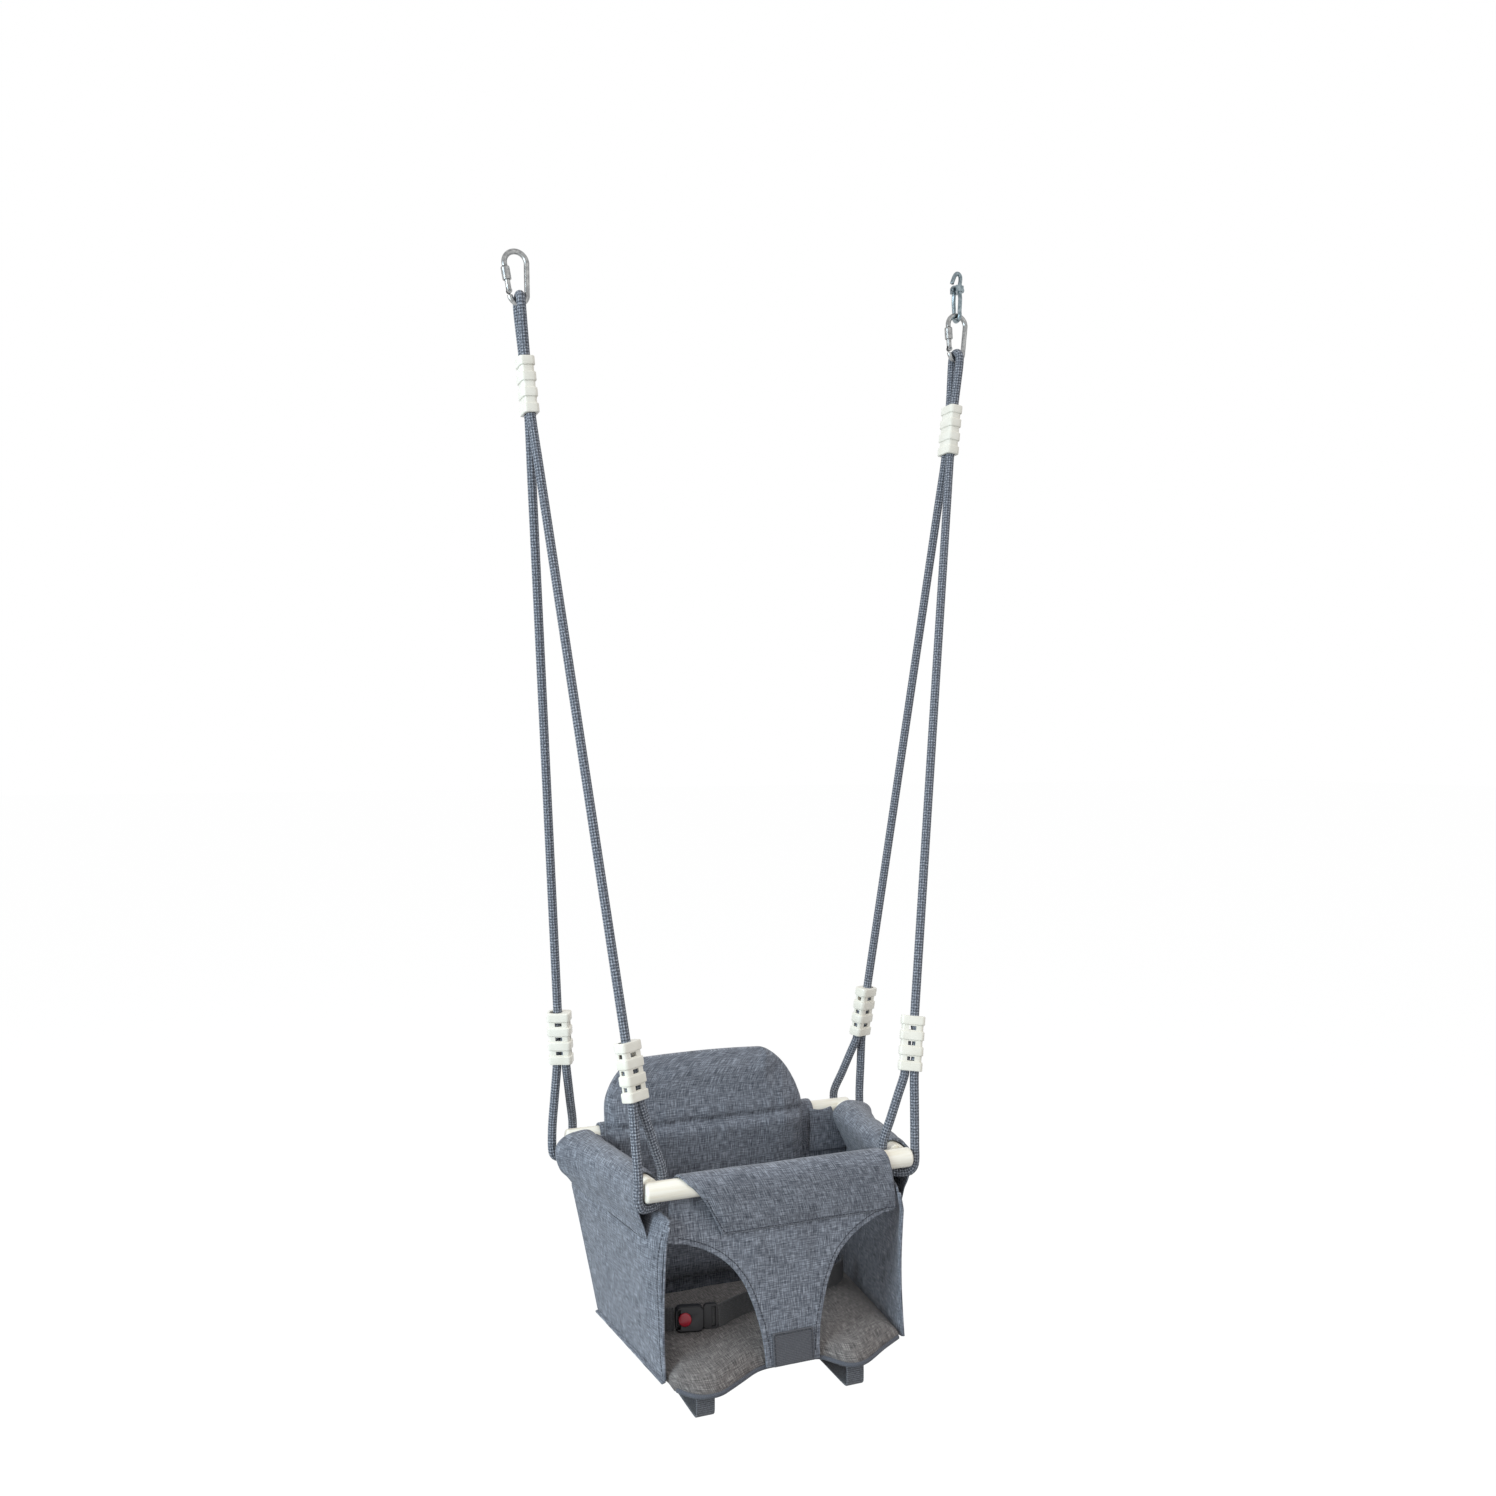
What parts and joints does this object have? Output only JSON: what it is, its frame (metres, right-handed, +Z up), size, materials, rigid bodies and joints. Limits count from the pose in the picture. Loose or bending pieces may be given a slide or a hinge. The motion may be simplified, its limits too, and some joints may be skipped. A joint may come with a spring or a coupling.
{
  "type": "toddler swing seat",
  "caption": "Hanging toddler swing seat: a fabric bucket with leg openings sewn over wooden rods, held by two ropes with moulded ferrules and lockable carabiners, with a lap belt.",
  "frame": {"origin": "the hanging point, midway between the tops of the two carabiners", "axes": "+Z up, +X to the right of the picture's front view, -Y towards the front of the seat where the legs go"},
  "size_m": [0.5738, 0.2808, 1.2557],
  "materials": {
    "fabric": "matte",
    "webbing": "matte",
    "wood": "satin",
    "rope": "matte",
    "ferrule": "satin",
    "black_plastic": "satin",
    "button": "gloss",
    "steel": "satin"
  },
  "bodies": {
    "hanger": {"carabiner_frame_left": "steel", "carabiner_frame_right": "steel", "gate_pin_left": "steel", "gate_pin_right": "steel", "rope_hook": "steel", "hook_clamp": "steel", "hook_bolt": "steel", "hook_nut": "steel"},
    "seat": {"front_panel": "fabric", "rear_panel": "fabric", "left_panel": "fabric", "right_panel": "fabric", "seat_base": "fabric", "backrest_pad": "fabric", "crotch_patch": "webbing", "lap_belt_left": "webbing", "board_strap_left": "webbing", "board_strap_right": "webbing", "front_rod": "wood", "rear_rod": "wood", "left_rod": "wood", "right_rod": "wood", "dowel_front_left": "wood", "dowel_front_right": "wood", "dowel_rear_left": "wood", "dowel_rear_right": "wood", "left_rope": "rope", "right_rope": "rope", "ferrule_upper_left": "ferrule", "ferrule_upper_right": "ferrule", "ferrule_front_left": "ferrule", "ferrule_front_right": "ferrule", "ferrule_rear_left": "ferrule", "ferrule_rear_right": "ferrule", "buckle_housing": "black_plastic", "strap_slider_left": "black_plastic", "strap_slider_right": "black_plastic"},
    "gate_left": {"carabiner_gate_left": "steel"},
    "gate_right": {"carabiner_gate_right": "steel"},
    "sleeve_left": {"lock_sleeve_left": "steel"},
    "sleeve_right": {"lock_sleeve_right": "steel"},
    "button": {"buckle_button": "button"},
    "tongue": {"buckle_tongue": "black_plastic", "lap_belt_right": "webbing"}
  },
  "joints": [
    {"name": "seat_swing", "type": "hinge", "parent": "hanger", "child": "seat", "pos_m": [0, 0, -0.058], "axis": [1, 0, 0], "range_deg": [-45, 45]},
    {"name": "gate_left_hinge", "type": "hinge", "parent": "hanger", "child": "gate_left", "pos_m": [-0.27986, 0, -0.04596], "axis": [0, 1, 0], "range_deg": [0, 25], "stiffness_Nm_per_rad": 0.05, "springref_deg": -17.19},
    {"name": "gate_right_hinge", "type": "hinge", "parent": "hanger", "child": "gate_right", "pos_m": [0.25969, 0, -0.04473], "axis": [0, 1, 0], "range_deg": [0, 25], "stiffness_Nm_per_rad": 0.05, "springref_deg": -17.19},
    {"name": "sleeve_left_slide", "type": "slide", "parent": "gate_left", "child": "sleeve_left", "axis": [-0.177, 0, 0.9842], "range_m": [0, 0.003]},
    {"name": "sleeve_right_slide", "type": "slide", "parent": "gate_right", "child": "sleeve_right", "axis": [-0.0557, 0, 0.9984], "range_m": [0, 0.003]},
    {"name": "button_press", "type": "slide", "parent": "seat", "child": "button", "axis": [0.2396, 0.9608, -0.1392], "range_m": [0, 0.0025], "stiffness_N_per_m": 800, "springref_m": -0.001},
    {"name": "tongue_release", "type": "slide", "parent": "seat", "child": "tongue", "axis": [0.9703, -0.2419, 0], "range_m": [0, 0.013]}
  ]
}
